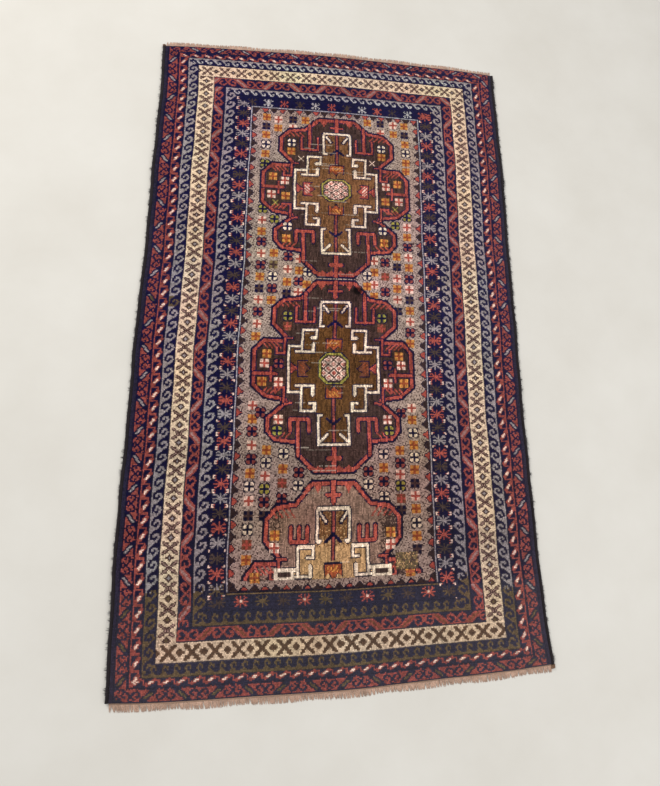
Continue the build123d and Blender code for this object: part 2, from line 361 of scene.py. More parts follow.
# right half of the outline and of the inner cross, from the head end down
OUTER = [
    (34, 69), (50, 67), (60, 57), (60, 40), (47, 27), (66, 27), (76, 16),
    (76, -18), (64, -29), (46, -32), (62, -46), (62, -59), (54, -68), (35, -70), (34, -80), (18, -95),
]
CROSS = [
    (15, 65), (15, 38), (31, 38), (31, 21), (43, 21),
    (43, -24), (31, -24), (31, -41), (15, -41), (15, -71),
]
# ivory key lines, right half, in knots from the medallion's centre
KEYS = [
    [(0, 64), (12.5, 64), (14, 62), (14, 40), (11.5, 40)],
    [(21.5, 28.5), (17, 28.5), (17, 36), (29.8, 36), (29.8, 15.5)],
    [(19.3, 22.5), (19.3, 15.2), (35, 15.2)],
    [(29.8, 20), (42, 20), (42, -22.8), (30, -22.8)],
    [(35, -17), (19.5, -17), (19.5, -25.5)],
    [(30, -17), (30, -39.8), (17.5, -39.8), (17.5, -33), (21.5, -33)],
    [(11, -44), (14.2, -44), (14.2, -69.8), (0, -69.8)],
]
TICKS = [[(11.5, 60.5), (6.5, 54)], [(12, -67), (6, -61)]]
# red figures in the dark ground, right half: strokes and their widths
UPPER_TRIDENT = [([(28.5, 72), (28.5, 44)], 3.6), ([(20, 58), (20, 44), (37, 44), (37, 58)], 2.2)]
WORN_TRIDENT = [
    ([(22.5, 50.5), (22.5, 40), (36.5, 40), (36.5, 50.5)], 2.6), ([(29.5, 50.5), (29.5, 40)], 2.6),
]
RED_FIGURES = UPPER_TRIDENT + [
    ([(0, -73), (0, -94)], 3.4), ([(-6, -82), (6, -82)], 3.0),
    ([(32.5, -80), (32.5, -48)], 3.6), ([(22.5, -59), (22.5, -47.5), (39.5, -47.5), (39.5, -59)], 2.2),
    ([(46, 27), (46, 12.8), (53, 12.8), (53, 18.5)], 2.2), ([(47, 27.5), (39.5, 27.5)], 1.8),
    ([(46, -32), (46, -19), (54, -19), (54, -23)], 2.2), ([(44, -34), (38.5, -33)], 1.8),
]
SIDE_BAR = {"head": -0.8, "centre": -6.7}
SIDE_CROWN = {"head": ("coral", "pink_white"), "centre": ("rust", "orange")}
FEATHERS = [
    [(ax - k, ay), (bx - k, by)]
    for ax, ay, bx, by, apart, count in (
        (54, 64, 49, 58, 5, 4), (67, 24, 61, 17, 4, 4), (66, -25, 61, -19, 4, 4), (54, -65, 49, -59, 5, 3))
    for k in range(0, apart * count, apart)
]
# flower, knots from the middle column, knots up from the medallion's centre
LOBE_FLOWERS = {
    "head": [("gold", 64, 11), ("pink", 52, 7), ("pink", 65, -9.5), ("gold", 51.5, -10), ("white", 46.5, 51),
             ("gold", 46.5, 41), ("white", 48, -43.5), ("gold", 49, -56), ("tiny_pink", 37.5, 33),
             ("tiny_green", 61.5, -18)],
    "centre": [("gold", 62, 12), ("pink", 64, 2.6), ("maroon", 51.5, 3.2), ("gold", 66, -14),
               ("pink", 50.5, -14),
               ("green", 45.5, 49.5), ("rust", 45, 39.5), ("pink", 50, -48), ("green", 51.5, -57.8)],
    "foot": [("gold", 50, 45), ("pink", 50, 35.5), ("gold", 66, 15)],
}
FLOWERS = {
    "gold": ("gold", "orange"), "pink": ("pink_white", "coral"), "navy": ("navy", "speck"),
    "white": ("ivory_white", "navy"), "maroon": ("red", "navy"), "green": ("green", "navy"),
    "rust": ("rust", "coral"), "tan": ("tan", "speck"),
}
DARK_OUTLINED = ("white", "maroon", "green")
# columns of flowers on both sides: knots from the middle column, first row, rows apart, and one
# letter a flower from the head end downwards, in the order of FLOWERS, with a blank for none
LETTERS = dict(zip("gpnwmert", FLOWERS))
LEFT_RUNS = [
    (73, 528, 10.7, "gngwge"), (60.5, 526, 9.6, "pg"), (46, 527, 10.4, "np"), (33, 527, 11, "g"),
    (73, 423, 11.8, "epgmpmgnpmpg"), (61, 412.7, 12.0, "e  gtwmg"), (47, 373.9, 12.75, "mpgn"),
    (36, 372, 11.5, "pgmp"), (28, 359.3, 13.3, "wg"),
    (73, 228.9, 11.7, "pgmpmgwpnwrg"), (66, 222.6, 11, "m"), (60, 189.7, 10.9, "gwpemn"),
    (45, 186.8, 12.6, "wgrmg"), (31.5, 170.8, 10.4, "mw"),
]
RIGHT_RUNS = [
    (73, 530, 10.9, "gngwgg"), (60.5, 530, 10.7, "pg"), (47, 530, 10.7, "np"), (33, 530, 11, "g"),
    (73, 423, 11.1, "epgmpgmpngpmg"), (61, 412.7, 11.3, "e  gnpgpn"), (49, 372, 15.3, "mrm"),
    (38, 373, 12.4, "pgpg"), (30.5, 357, 10.7, "wg"),
    (73, 228, 11.3, "pgwgwgnpgwgn"), (63, 222.6, 11, "m"), (60, 188.6, 10.3, "gmpern"),
    (45, 186, 12.2, "wgmwp"), (31.5, 170.8, 10.4, "mw"),
]


def paint_flower(kind, column, row):
    """Four petals round a cross, with a dark rim on some kinds; a tiny one is five dots."""
    size, tiny = 4.0, kind.startswith("tiny")
    petal, cross = ("pink_white" if "pink" in kind else "green", "navy") if tiny else FLOWERS[kind]
    window = np.s_[int(row) - 6:int(row) + 7, int(column) - 6:int(column) + 7]
    x, y = abs(COLUMN[window] - round(column)), abs(ROW[window] - round(row))
    reach, cells = np.maximum(x, y), chart[window]
    if tiny:
        dye(cells, (abs(x - y) < 0.8) & (reach < 2.6), petal)
        return
    if kind in DARK_OUTLINED:
        rim = (reach < size + 0.9) & (x + y < 2 * size + 0.5) & (np.minimum(x, y) > 0.9)
        dye(cells, rim, "navy")
    if kind in ("gold", "pink", "rust"):
        dye(cells, reach < size, cross)
    dye(cells, (reach < size) & (x + y < 2 * size - (1.4 if kind in DARK_OUTLINED else 0.9)), petal)
    dye(cells, (np.minimum(x, y) < 0.9) & (reach < size - 0.4), cross)


def paint_crown(cells, x, y, at, yarn, specks=None):
    """A squat crown with three points, drawn point upwards round its own middle."""
    x, y = x - at[0], y - at[1]
    outline = [(-7, -5), (7, -5), (7, 4), (4, 1), (0, 5.5), (-4, 1), (-7, 4)]
    grown = [(px * 1.17, py * 1.25) for px, py in outline]
    dye(cells, inside(x, y, grown), "navy")
    dye(cells, inside(x, y, outline), yarn)
    if specks:
        speckled = (abs(x) < 5.5) & (y < 1) & (y > -4.2) & (((x + y).astype(int) % 3) == 0)
        dye(cells, inside(x, y, outline) & speckled, specks)


def medallion_outline(name):
    """Right half of a medallion's outline, closed along its middle."""
    return [(0, TOP[name]), (19, TOP[name])] + OUTER + [(0, OUTER[-1][1])]


def dye_lines(cells, x, y, lines, width, yarn, within=True):
    for points in lines:
        dye(cells, within & stroke(x, y, points, width), yarn)


def weave_medallion(name, row, stretch, lowest):
    """One stepped medallion; x and y are knots from its centre, y stretched along the rug."""
    top, bottom = int(row + 87 * stretch), max(int(row - 97 * stretch), lowest)
    window = np.s_[bottom:top, MIDDLE - 80:MIDDLE + 80]
    cells, side = chart[window], COLUMN[window] - MIDDLE
    x, y = abs(side), (ROW[window] - row) / stretch
    worn = name == "foot"
    outline = medallion_outline(name)
    body = inside(x, y, outline)
    dye(cells, body, "ground_worn" if worn else "umber")
    if worn:
        fresh = np.clip((side - 38) / 12, 0, 0.8) + np.clip((-side - 42) / 14, 0, 0.4)
        dye(cells, body & (rng.random(cells.shape) < fresh), "umber")
    dye_lines(cells, x, y, [outline], 9.4, "navy", body)
    dye_lines(cells, x, y, [outline], 7.4, "coral", body)
    dye_lines(cells, x, y, [outline], 2.0, "navy")
    top = TOP[name]
    figures = RED_FIGURES + [([(0, top), (0, top - 17)], 3.2), ([(-5.5, top - 11), (5.5, top - 11)], 2.8)]
    if worn:
        figures = [figure for figure in figures if figure not in UPPER_TRIDENT] + WORN_TRIDENT
    else:
        bar = SIDE_BAR[name]
        figures += [([(74, bar), (53, bar)], 2.6), ([(58, bar + 5.5), (58, bar - 5.5)], 2.8)]
    for margin, yarn in ((1.8, "navy"), (0.0, "coral")):
        for points, width in figures:
            dye(cells, body & stroke(x, y, points, width + margin), yarn)
    dye_lines(cells, x, y, FEATHERS, 1.3, "coral", body)
    teeth = (y > top - 10) & (y < top - 2) & (abs((x % 9) - 4.5) * 1.7 < y - top + 10) & (x > 7)
    teeth |= (y < -88) & (y > -92) & (abs((x % 9) - 4.5) * 0.8 < -88 - y)
    dye(cells, body & teeth & (x < 26), "coral")
    weave_cross(cells, side, x, y, name)
    for kind, column, up in LOBE_FLOWERS[name]:
        for mirror in (-1, 1):
            paint_flower(kind, MIDDLE + mirror * column, row + up * stretch)


def weave_cross(cells, side, x, y, name):
    """A medallion's inner cross: key lines, crowns, side windows and the rosette."""
    worn = name == "foot"
    cross = inside(x, y, [(0, CROSS[0][1])] + CROSS + [(0, CROSS[-1][1])])
    heart = {"head": "heart_gold", "centre": "heart_olive", "foot": "heart_worn"}[name]
    dye(cells, cross, heart)
    if worn:
        dye(cells, cross & (rng.random(cells.shape) < np.clip((y - 34) / 12, 0, 0.85)), "heart_gold")
    dye_lines(cells, x, y, KEYS + TICKS, 4.2, "navy")
    stem = (x < 1.6) & (y > 26) & (y < 62) | (x < 1.6) & (y < -27) & (y > -68)
    dye(cells, stem, "navy")
    dye(cells, stem & (x < 0.6), "red")
    dye_lines(cells, x, y, ([(0, 45), (6.5, 39.5)], [(0, -52), (6, -47)]), 2.4, "navy")
    dye_lines(cells, x, y, KEYS, 2.5, "ivory_white")
    dye_lines(cells, x, y, TICKS, 1.7, "ivory_white")
    paint_crown(cells, side, -y, (0, -18.5 if worn else -21.6), "orange", "gold")
    if not worn:
        paint_crown(cells, side, y, (0, -22.6), "orange", "gold")
        paint_crown(cells, y, -x, (-0.8, -28.0), *SIDE_CROWN[name])
        arrow = inside(x, y, [(40.5, 4.5), (40.5, -6), (33.5, -0.8)])
        dye(cells, stroke(x, y, [(40.5, 4.5), (33.5, -0.8), (40.5, -6)], 1.8), "navy")
        dye(cells, arrow, "coral")
        paint_rosette(cells, side, x, y, 1.0 if name == "head" else 0.84)
    else:
        dye(cells, (abs(x - 41.5) < 8.7) & (abs(y - 17) < 4.6), "ivory_white")
        dye(cells, (abs(x - 41.5) < 5.6) & (abs(y - 17) < 1.8), "umber")


def paint_rosette(cells, side, x, y, flatness):
    """Octagon with a yellow-green ring round staggered diamonds."""
    y, x = (y + 0.8) * 1.19 * flatness, x / (0.6 + 0.4 * flatness)
    for yarn, reach in (("navy", 15.6), ("green", 14.6), ("navy", 12.9), ("umber", 12.3)):
        dye(cells, (np.maximum(x, abs(y)) < reach) & (x + abs(y) < reach * 1.52), yarn)
    core = (np.maximum(x, abs(y)) < 11.6) & (x + abs(y) < 17.6)
    p, q = (side / 9.6 + y / 8.4) % 1.0 - 0.5, (side / 9.6 - y / 8.4) % 1.0 - 0.5
    diamond = np.maximum(abs(p), abs(q))
    for yarn, reach in (("pink_white", 0.40), ("coral", 0.24), ("pink_white", 0.09)):
        dye(cells, core & (diamond < reach), yarn)


def weave_teeth(field_box):
    """Sawtooth edging: alternate red and brown points towards the field."""
    left, right, foot, head = field_box
    for side, d, s, length, pitch in (
        ("left", COLUMN - left, ROW - foot, head - foot, 9.5),
        ("right", right - COLUMN, ROW - foot, head - foot, 9.5),
        ("head", head - ROW, COLUMN - left, right - left, 8.8),
        ("foot", ROW - foot, COLUMN - left, right - left, 8.8),
    ):
        step = length / round(length / pitch)
        number, share = np.floor(s / step), (s / step) % 1.0
        height = (4.0 if side == "foot" else 6.0) * (1.0 - abs(2.0 * share - 1.0))
        near = (d >= 0) & (s >= 0) & (s < length)
        dye(chart, near & (d < height + 1.0) & (d < 6.2), "navy")
        dye(chart, near & (d < height) & (number % 2 == 0), "tooth_brown")
        dye(chart, near & (d < height - 0.3) & (d > 0.9) & (number % 2 == 1), "coral")


def weave_field(field_box):
    left, right, foot, head = (int(value) for value in field_box)
    field = np.s_[foot:head, left:right]
    dye(chart[field], np.ones((head - foot, right - left), bool), "ground")
    dots = ((COLUMN[field].astype(int) + 2 * ROW[field].astype(int)) % 5 == 0)
    chance = rng.random((head - foot, right - left))
    dye(chart[field], np.where(dots, chance < 0.66, chance < 0.08), "speck")
    weave_teeth(field_box)
    bodies = {name: np.zeros(chart.shape, bool) for name in MEDALLIONS}
    for name, (row, stretch, lowest) in MEDALLIONS.items():
        x, y = abs(COLUMN - MIDDLE), (ROW - row) / stretch
        bodies[name] = inside(x, y, medallion_outline(name)) & (ROW > lowest)
    scatter_flowers()
    for name, (row, stretch, lowest) in MEDALLIONS.items():
        weave_medallion(name, row, stretch, lowest)
    return bodies


def scatter_flowers():
    """Columns of small flowers that fill the ground between the teeth and the medallions."""
    for mirror, runs in ((-1, LEFT_RUNS), (1, RIGHT_RUNS)):
        for offset, first, step, letters in runs:
            for number, letter in enumerate(letters):
                if letter != " ":
                    paint_flower(LETTERS[letter], MIDDLE + mirror * offset, first - step * number)


# the rewoven repair, in columns and rows
PATCH_AT, PATCH_HALF = (238.5, 95), (10, 7)


def weave_chart():
    """The whole chart, and the region of each piece of pile as a mask of knots."""
    regions = {"pile_edge_stripes": (COLUMN < EDGE_STRIPE) | (COLUMN > KNOTS - EDGE_STRIPE)}
    dye(chart, regions["pile_edge_stripes"], "edge_navy")
    box = (EDGE_STRIPE, KNOTS - EDGE_STRIPE, 0, ROWS)
    for name, knots, head_rows, foot_rows in BANDS:
        regions[f"pile_{name}"], box = weave_band(name, box, knots, head_rows, foot_rows)
    beside, above, below = FIELD_LINE
    inner = (box[0] + beside, box[1] - beside, box[2] + below, box[3] - above)
    within = (COLUMN > box[0]) & (COLUMN < box[1]) & (ROW > box[2]) & (ROW < box[3])
    field = (COLUMN > inner[0]) & (COLUMN < inner[1]) & (ROW > inner[2]) & (ROW < inner[3])
    line = within & ~field
    dye(chart, line, "pale_line")
    dye(chart, line & (ROW < inner[2]), "navy")
    dye(chart, line & (ROW < inner[2] - 1), "tan")
    bodies = weave_field(inner)
    patch = (abs(COLUMN - PATCH_AT[0]) < PATCH_HALF[0]) & (abs(ROW - PATCH_AT[1]) < PATCH_HALF[1])
    dye(chart, patch, "patch")
    for yarn, share in (("heart_worn", 0.36), ("speck", 0.28), ("olive", 0.3)):
        dye(chart, patch & (rng.random(chart.shape) < share), yarn)
    for name, body in bodies.items():
        regions[f"pile_medallion_{name}"] = body & field & ~patch
    regions["pile_field"] = within & ~np.logical_or.reduce(list(bodies.values())) & ~patch
    regions["repair_patch"] = patch
    return regions


regions = weave_chart()


OLIVE_BELOW, FADED_BELOW = 80, 76  # rows


def change_of_yarn():
    """Where the weaver ran out of grey and went on in olive, and of fresh navy in a faded one."""
    ragged = rng.integers(-3, 4, KNOTS)[None, :]
    low = ROW < OLIVE_BELOW + ragged - 20 * share_of(COLUMN - 295, 50)
    grey, navy = YARN_NUMBER["grey"], YARN_NUMBER["navy"]
    dye(chart, (chart == grey) & low, "olive")
    dye(chart, (chart == navy) & (ROW < FADED_BELOW + ragged), "navy_faded")
    dye(chart, (chart == grey) & (abs(ROW - 324) < 5) & (COLUMN < 60), "olive")


change_of_yarn()


# ---- colour of every knot ----
def to_linear(colour):
    colour = np.asarray(colour, float)
    return np.where(colour <= 0.04045, colour / 12.92, ((colour + 0.055) / 1.055) ** 2.4)


def smooth_noise(cells_down, cells_across):
    """Slow random variation over the chart, between about -1 and 1."""
    coarse = rng.normal(0, 1, (cells_down, cells_across))
    down = np.linspace(0, cells_down - 1.001, ROWS)
    across = np.linspace(0, cells_across - 1.001, KNOTS)
    i, j = down.astype(int), across.astype(int)
    fi, fj = (down - i)[:, None], (across - j)[None, :]
    fi, fj = fi * fi * (3 - 2 * fi), fj * fj * (3 - 2 * fj)
    near = coarse[i][:, j] * (1 - fj) + coarse[i][:, j + 1] * fj
    far = coarse[i + 1][:, j] * (1 - fj) + coarse[i + 1][:, j + 1] * fj
    return near * (1 - fi) + far * fi


STAIN_AT = (196.5, 341)  # column and row
TUFT_VARIATION = 0.25    # how much one knot's shade differs from the next


def knot_colours():
    """Linear colour of each knot, with dye lots, wear, dust, stains and painted sheen on the right."""
    colour = np.array([to_linear(yarn) for yarn in YARNS.values()])[chart]
    shade = 1.0 + 0.05 * smooth_noise(60, 3) + 0.06 * smooth_noise(24, 14) + 0.04 * smooth_noise(90, 50)
    every_other_row = np.where((ROW.astype(int) % 2) == 0, 1, -1)
    shade *= 1.0 + rng.normal(0, TUFT_VARIATION, chart.shape) + 0.05 * every_other_row
    colour *= np.clip(shade, 0.55, 1.5)[..., None]
    colour *= 1.0 + 0.03 * np.stack([smooth_noise(20, 12) for _ in range(3)], axis=-1)
    # painted sheen: the rug grows lighter towards its right side
    sheen_rightwards = share_of(COLUMN - MIDDLE, MIDDLE)
    colour *= (1.0 + 0.10 * sheen_rightwards)[..., None]
    blue = (chart == YARN_NUMBER["navy"]) * share_of(320 - ROW, 220)
    colour[..., 2] *= 1.0 - 0.42 * blue
    greys = np.isin(chart, [YARN_NUMBER["grey"], YARN_NUMBER["ivory"]]) & (ROW < 240)
    colour = colour * (1.0 - 0.22 * greys * share_of(240 - ROW, 180))[..., None]
    # pale colour blended in for dust and wear, and for the painted sheen on the right
    dust_and_sheen = to_linear((0.62, 0.57, 0.56))
    worn = 0.004 + 0.01 * np.clip(smooth_noise(12, 8), 0, 2) + 0.055 * share_of(120 - ROW, 120)
    # painted sheen: a haze of the pale colour that grows towards the right side, on top of dust and wear
    worn += 0.028 * sheen_rightwards
    colour = colour * (1 - worn[..., None]) + dust_and_sheen * worn[..., None]
    older = share_of(250 - ROW, 60) * regions["pile_field"]
    colour = colour * (1 - older[..., None] * np.array([0.24, 0.30, 0.32]))
    medallions = np.logical_or.reduce([regions[f"pile_medallion_{name}"] for name in MEDALLIONS])
    streak = np.repeat(rng.normal(0, 1, (ROWS // 5 + 1, KNOTS)), 5, axis=0)[:ROWS]
    colour = colour * (1 + 0.27 * np.clip(streak, -1.8, 1.8) * medallions)[..., None]
    stain = np.exp(-(((COLUMN - STAIN_AT[0]) / 4.6) ** 2 + ((ROW - STAIN_AT[1]) / 4.0) ** 2))
    colour *= (1 - 0.88 * np.clip(stain * 1.7, 0, 1))[..., None]
    weft = np.zeros(chart.shape)
    for _ in range(52):
        row, start, length = rng.integers(85, 500), rng.integers(138, 192), rng.integers(6, 24)
        weft[row, start:start + length] = rng.uniform(0.12, 0.42)
    pale = to_linear((0.86, 0.80, 0.72))
    weft = (weft * medallions * (rng.random(chart.shape) < 0.8))[..., None]
    return colour * (1 - weft) + pale * weft


KNOT_COLOUR = knot_colours()


# ---- meshes ----
# painted shade: the pile's walls and the weave's sides are darker than the same wool seen from above
WALL_SHADE, BACK_SHADE, WEB_SIDE_SHADE = 0.75, 0.9, 0.8  # beside the same wool seen from above


def add_piece(name, points, faces, corner_colours=None, smooth=True, tufts=None):
    mesh = bpy.data.meshes.new(name)
    mesh.from_pydata(points.tolist(), [], faces.tolist() if isinstance(faces, np.ndarray) else faces)
    if corner_colours is not None:
        rgba = np.concatenate([corner_colours, np.ones((len(corner_colours), 1))], axis=1)
        layer = mesh.color_attributes.new("wool", "FLOAT_COLOR", "CORNER")
        layer.data.foreach_set("color", rgba.astype(np.float32).ravel())
    if tufts is not None:
        layer = mesh.attributes.new("tuft", "FLOAT_VECTOR", "CORNER")
        layer.data.foreach_set("vector", tufts.astype(np.float32).ravel())
    mesh.polygons.foreach_set("use_smooth", [smooth] * len(mesh.polygons))
    mesh.update()
    return add_object(name, mesh)


def corner_grid():
    """Every corner between knots, with the small unevenness of cut wool."""
    column, row = np.meshgrid(np.arange(KNOTS + 1.0), np.arange(ROWS + 1.0))
    edge = np.minimum.reduce([column, KNOTS - column, row, ROWS - row])
    wander_x, wander_y = rng.normal(0, 0.13, column.shape), rng.normal(0, 0.13, column.shape)
    points = place(column + wander_x * (edge > 0), row + wander_y * (edge > 0), PILE_TOP)
    points[..., 2] += rng.normal(0, 0.00022, column.shape)
    points[..., 2] -= 0.0016 * np.clip(1 - edge / 1.5, 0, 1)
    return points


def corner_colours():
    """Colour at each knot's four corners: its own wool, blurred a little by its neighbours'."""
    padded = np.pad(KNOT_COLOUR, ((1, 1), (1, 1), (0, 0)), mode="edge")
    mean = (padded[:-1, :-1] + padded[1:, :-1] + padded[:-1, 1:] + padded[1:, 1:]) / 4
    corners = np.stack([mean[:-1, :-1], mean[:-1, 1:], mean[1:, 1:], mean[1:, :-1]], axis=2)
    return 0.82 * KNOT_COLOUR[:, :, None, :] + 0.18 * corners


GRID = corner_grid()
CORNERS = corner_colours()


def make_pile(name, mask):
    """The tufts of one region as a sheet of quads, with a wall down to the weave at its rim."""
    rows, columns = np.nonzero(mask)
    number = np.arange((ROWS + 1) * (KNOTS + 1)).reshape(ROWS + 1, KNOTS + 1)
    faces = np.stack([
        number[rows, columns], number[rows, columns + 1],
        number[rows + 1, columns + 1], number[rows + 1, columns],
    ], axis=1)
    colours = CORNERS[rows, columns].reshape(-1, 3)
    edges = np.concatenate([faces[:, [k, (k + 1) % 4]] for k in range(4)])
    owner = np.tile(np.arange(len(faces)), 4)
    key = edges.min(1) * 10 ** 7 + edges.max(1)
    _, first, counts = np.unique(key, return_index=True, return_counts=True)
    rim, rim_owner = edges[first[counts == 1]], owner[first[counts == 1]]
    used = np.unique(faces)
    faces_new, rim_new = np.searchsorted(used, faces), np.searchsorted(used, rim)
    top = GRID.reshape(-1, 3)[used]
    rim_points = np.unique(rim_new)
    rim_index = np.searchsorted(rim_points, rim_new)
    low = top[rim_points].copy()
    low[:, 2] -= PILE_TOP - FOUNDATION_TOP - 0.0018
    base = len(top)
    walls = np.stack([rim_new[:, 1], rim_new[:, 0], base + rim_index[:, 0], base + rim_index[:, 1]], axis=1)
    owner_colours = KNOT_COLOUR.reshape(-1, 3)[(rows * KNOTS + columns)[rim_owner]]
    # painted shade on the pile's walls
    wall_colours = np.repeat(owner_colours * WALL_SHADE, 4, axis=0)
    tufts = np.concatenate([
        np.tile([[-1, -1, 0], [1, -1, 0], [1, 1, 0], [-1, 1, 0]], (len(faces_new), 1)),
        np.tile([[0.6, 0.6, 0]], (4 * len(walls), 1))])
    return add_piece(
        name, np.concatenate([top, low]), np.concatenate([faces_new, walls]),
        np.concatenate([colours, wall_colours]), tufts=tufts)


def make_foundation():
    """Closed slab of weave: wool web on top, the back of every knot underneath."""
    step = 2
    columns = np.arange(0, KNOTS + 1, step)
    rows = np.concatenate([[-WEB_ROWS], np.arange(0, ROWS, step), [ROWS, ROWS + WEB_ROWS]])
    column, row = np.meshgrid(columns.astype(float), rows)
    back, face = place(column, row, 0.0002), place(column, row, FOUNDATION_TOP)
    down, across = column.shape
    number = np.arange(down * across).reshape(down, across)
    corners = [number[:-1, :-1], number[:-1, 1:], number[1:, 1:], number[1:, :-1]]
    quads = np.stack(corners, axis=-1).reshape(-1, 4)
    rim = np.concatenate([number[0, :-1], number[:-1, -1], number[-1, :0:-1], number[:0:-1, 0]])
    following = np.roll(rim, -1)
    base = down * across
    sides = np.stack([rim, following, following + base, rim + base], axis=1)
    top = quads + base
    web = to_linear(YARNS["web"])
    under = KNOT_COLOUR[np.clip(rows[:-1].astype(int), 0, ROWS - 1)][:, columns[:-1]]
    under[[0, -1]] = web
    # knots' backs underneath, web on top, and painted shade on the slab's sides
    colours = np.concatenate([
        np.repeat(under.reshape(-1, 3) * BACK_SHADE, 4, axis=0), np.tile(web, (len(top) * 4, 1)),
        np.tile(web * WEB_SIDE_SHADE, (len(sides) * 4, 1))])
    points = np.concatenate([back.reshape(-1, 3), face.reshape(-1, 3)])
    return add_piece("foundation_cloth_weave", points, np.concatenate([quads[:, ::-1], top, sides]), colours)


def sweep(paths, radii, sides=6, squash=1.0):
    """Tubes along many paths at once: paths is (tubes, points, 3), radii is (tubes, points)."""
    tubes, steps, _ = paths.shape
    ahead = np.gradient(paths, axis=1)
    ahead /= np.linalg.norm(ahead, axis=2, keepdims=True) + 1e-12
    across = np.cross(ahead, np.array([0.0, 0.0, 1.0]))
    across /= np.linalg.norm(across, axis=2, keepdims=True) + 1e-12
    upward = np.cross(across, ahead)
    turn = 2 * np.pi * np.arange(sides) / sides
    ring = (across[:, :, None, :] * np.cos(turn)[None, None, :, None]
            + upward[:, :, None, :] * np.sin(turn)[None, None, :, None] * squash)
    points = paths[:, :, None, :] + ring * radii[:, :, None, None]
    number = np.arange(tubes * steps * sides).reshape(tubes, steps, sides)
    near, far = number[:, :-1], number[:, 1:]
    quads = np.stack([near, np.roll(near, -1, 2), np.roll(far, -1, 2), far], axis=-1).reshape(-1, 4)
    caps = [list(map(int, number[t, 0, ::-1])) for t in range(tubes)]
    caps += [list(map(int, number[t, -1])) for t in range(tubes)]
    return points.reshape(-1, 3), quads.tolist() + caps


def make_fringe(name, end):
    """Short, frayed warp ends that lean together in small bunches."""
    strands, steps = 3400, 6
    column = np.sort(rng.uniform(0.4, KNOTS - 0.4, strands))
    row = ROWS + WEB_ROWS - 0.8 if end > 0 else -WEB_ROWS + 0.8
    root = place(column, np.full(strands, row), 0.0015)
    length = 0.0175 + 0.0022 * np.sin(column * 0.11) + rng.normal(0, 0.0018, strands)
    length = np.clip(length, 0.007, 0.0215)
    bunch_width = 1.7
    bunch = np.floor(column / bunch_width)
    lean = (np.sin(bunch * 12.9898) * 43758.5453) % 1.0 - 0.5
    gather = (bunch + 0.5) * bunch_width - column
    t = np.linspace(0, 1, steps)[None, :]
    x = root[:, :1] + (gather[:, None] * 0.0018 + 0.005 * lean[:, None] + 0.0028) * t ** 1.3
    x = x + rng.normal(0, 0.0007, (strands, 1)) * t + rng.normal(0, 0.00018, (strands, steps))
    y = root[:, 1:2] + end * length[:, None] * t
    lift = rng.uniform(0.0, 0.0016, (strands, 1)) * np.sin(t * np.pi)
    z = np.maximum(root[:, 2:3] * (1 - t) + 0.0009 * t + lift, 0.0008)
    radii = 0.00075 * (1.0 - 0.45 * t) * rng.uniform(0.7, 1.25, (strands, 1))
    return add_piece(name, *sweep(np.stack([x, y, z], axis=-1), radii, 5))


def edge_path(side, offset, rows, height):
    """Points beside the pile at the left (-1) or right (1), this far out from its last knot."""
    column = np.full(rows.shape, 0.0 if side < 0 else float(KNOTS))
    path = place(column, rows, height)
    path[:, 0] += side * offset
    return path


def make_selvedge(name, side):
    """Side cord of warps overcast with dark goat hair, one ridge for each turn."""
    turns, per_turn, sides = 560, 5, 12
    rows = np.linspace(0, ROWS, turns * per_turn)
    turn = np.linspace(0, turns * 2 * np.pi, rows.size)
    path = edge_path(side, 0.0048, rows, 0.0041)
    slow = np.interp(rows, np.linspace(0, ROWS, 70), rng.normal(0, 1, 70))
    width = 0.0048 + 0.0004 * slow + 0.00038 * np.cos(turn) + rng.normal(0, 0.0001, rows.size)
    width = np.minimum(width, 0.0051)
    return add_piece(name, *sweep(path[None], width[None], sides, 0.78))


def make_hairs(name, side, clumps, per_clump):
    """Stray goat hair and burst wraps along a side cord."""
    strands = clumps * per_clump
    centre = np.repeat(rng.uniform(0, ROWS, clumps), per_clump)
    size = np.repeat(rng.gamma(2.0, 0.35, clumps), per_clump)
    rows = np.clip(centre + rng.normal(0, 0.9, strands), 0, ROWS)
    root = edge_path(side, 0.0075, rows, 0.004)
    reach = np.clip(0.0046 * size * rng.uniform(0.6, 1.5, strands), 0.001, 0.0105)
    t = np.linspace(0, 1, 5)[None, :]
    x = root[:, :1] + side * reach[:, None] * t
    y = root[:, 1:2] + rng.normal(0, 0.0026, (strands, 1)) * t + rng.normal(0, 0.0004, (strands, 5)) * t
    z = np.maximum(root[:, 2:3] + rng.uniform(-0.002, 0.002, (strands, 1)) * t, 0.0006)
    radii = 0.00042 * (1.05 - t) * rng.uniform(0.7, 1.3, (strands, 1))
    return add_piece(name, *sweep(np.stack([x, y, z], axis=-1), radii, 4))


def make_tie(name, node, loops, thickness):
    """A knot of spare yarn: loops wound through each other inside the CAD knot's box."""
    low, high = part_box(node)
    middle, half = (low + high) / 2, (high - low) / 2
    turn = np.linspace(0, 2 * np.pi, 40)
    paths = []
    for _ in range(loops):
        spin = rng.uniform(0, np.pi, 3)
        r = 0.62 + 0.2 * rng.random()
        x = r * np.cos(turn + spin[0])
        y = r * np.sin(turn + spin[1]) * 0.9
        z = 0.45 * np.sin(2 * turn + spin[2])
        z = np.maximum(middle.z + half.z * z, thickness + 0.0002)
        paths.append(np.stack([middle.x + half.x * x, middle.y + half.y * y, z], axis=-1))
    return add_piece(name, *sweep(np.array(paths), np.full((loops, 40), thickness), 7))


# ---- materials ----
def new_material(name, roughness, sheen):
    material = bpy.data.materials.new(name)
    material.use_nodes = True
    tree = material.node_tree
    shader = tree.nodes["Principled BSDF"]
    shader.inputs["Roughness"].default_value = roughness
    shader.inputs["Sheen Weight"].default_value = sheen
    shader.inputs["Sheen Roughness"].default_value = 0.6
    shader.inputs["Specular IOR Level"].default_value = 0.03
    return material, tree, shader


def node(tree, kind, **values):
    made = tree.nodes.new(kind)
    for key, value in values.items():
        if key in made.inputs:
            made.inputs[key].default_value = value
        else:
            setattr(made, key, value)
    return made


